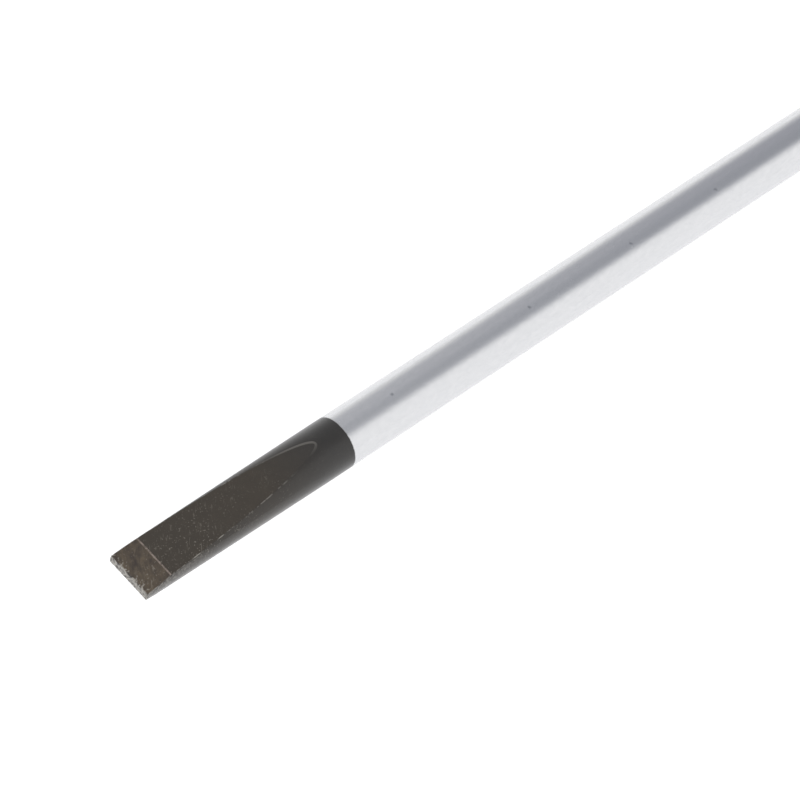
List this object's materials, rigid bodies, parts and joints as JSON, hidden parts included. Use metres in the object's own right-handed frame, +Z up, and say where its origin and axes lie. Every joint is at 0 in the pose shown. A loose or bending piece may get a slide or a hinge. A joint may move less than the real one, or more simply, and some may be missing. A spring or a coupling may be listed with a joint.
{
  "type": "slotted screwdriver",
  "caption": "Slotted screwdriver for small screws: round satin shaft with a blackened ground tip, slim soft grips, a hexagonal anti-roll collar and a free-turning end cap.",
  "frame": {"origin": "centre of the flat end face of the blade's working tip, on the tool's axis", "axes": "+X along the blade from the tip to the handle, +Z up with the tool lying on its collar and cap, normal to the blade's broad ground faces, +Y across the blade's width"},
  "size_m": [0.1778, 0.0166, 0.015],
  "materials": {
    "blade_steel": "satin chrome plate with a blackened ground tip",
    "core_plastic": "fine moulded matt",
    "accent_plastic": "satin moulded",
    "soft_grip": "matt textured",
    "pin_steel": "turned",
    "washer_plastic": "smooth natural acetal",
    "bush_bronze": "sintered bronze"
  },
  "bodies": {
    "handle": {"blade": "blade_steel", "handle_core": "core_plastic", "anti_roll_collar": "accent_plastic", "front_grip": "soft_grip", "marker_ring": "accent_plastic", "spinner_grip": "soft_grip", "pivot_pin": "pin_steel", "thrust_washer": "washer_plastic", "head_washer": "pin_steel"},
    "cap": {"swivel_cap": "accent_plastic", "cap_bush": "bush_bronze", "finger_pad": "soft_grip"}
  },
  "joints": [
    {"name": "cap_spin", "type": "hinge", "parent": "handle", "child": "cap", "pos_m": [0.1649, 0, 0], "axis": [1, 0, 0], "continuous": true}
  ]
}
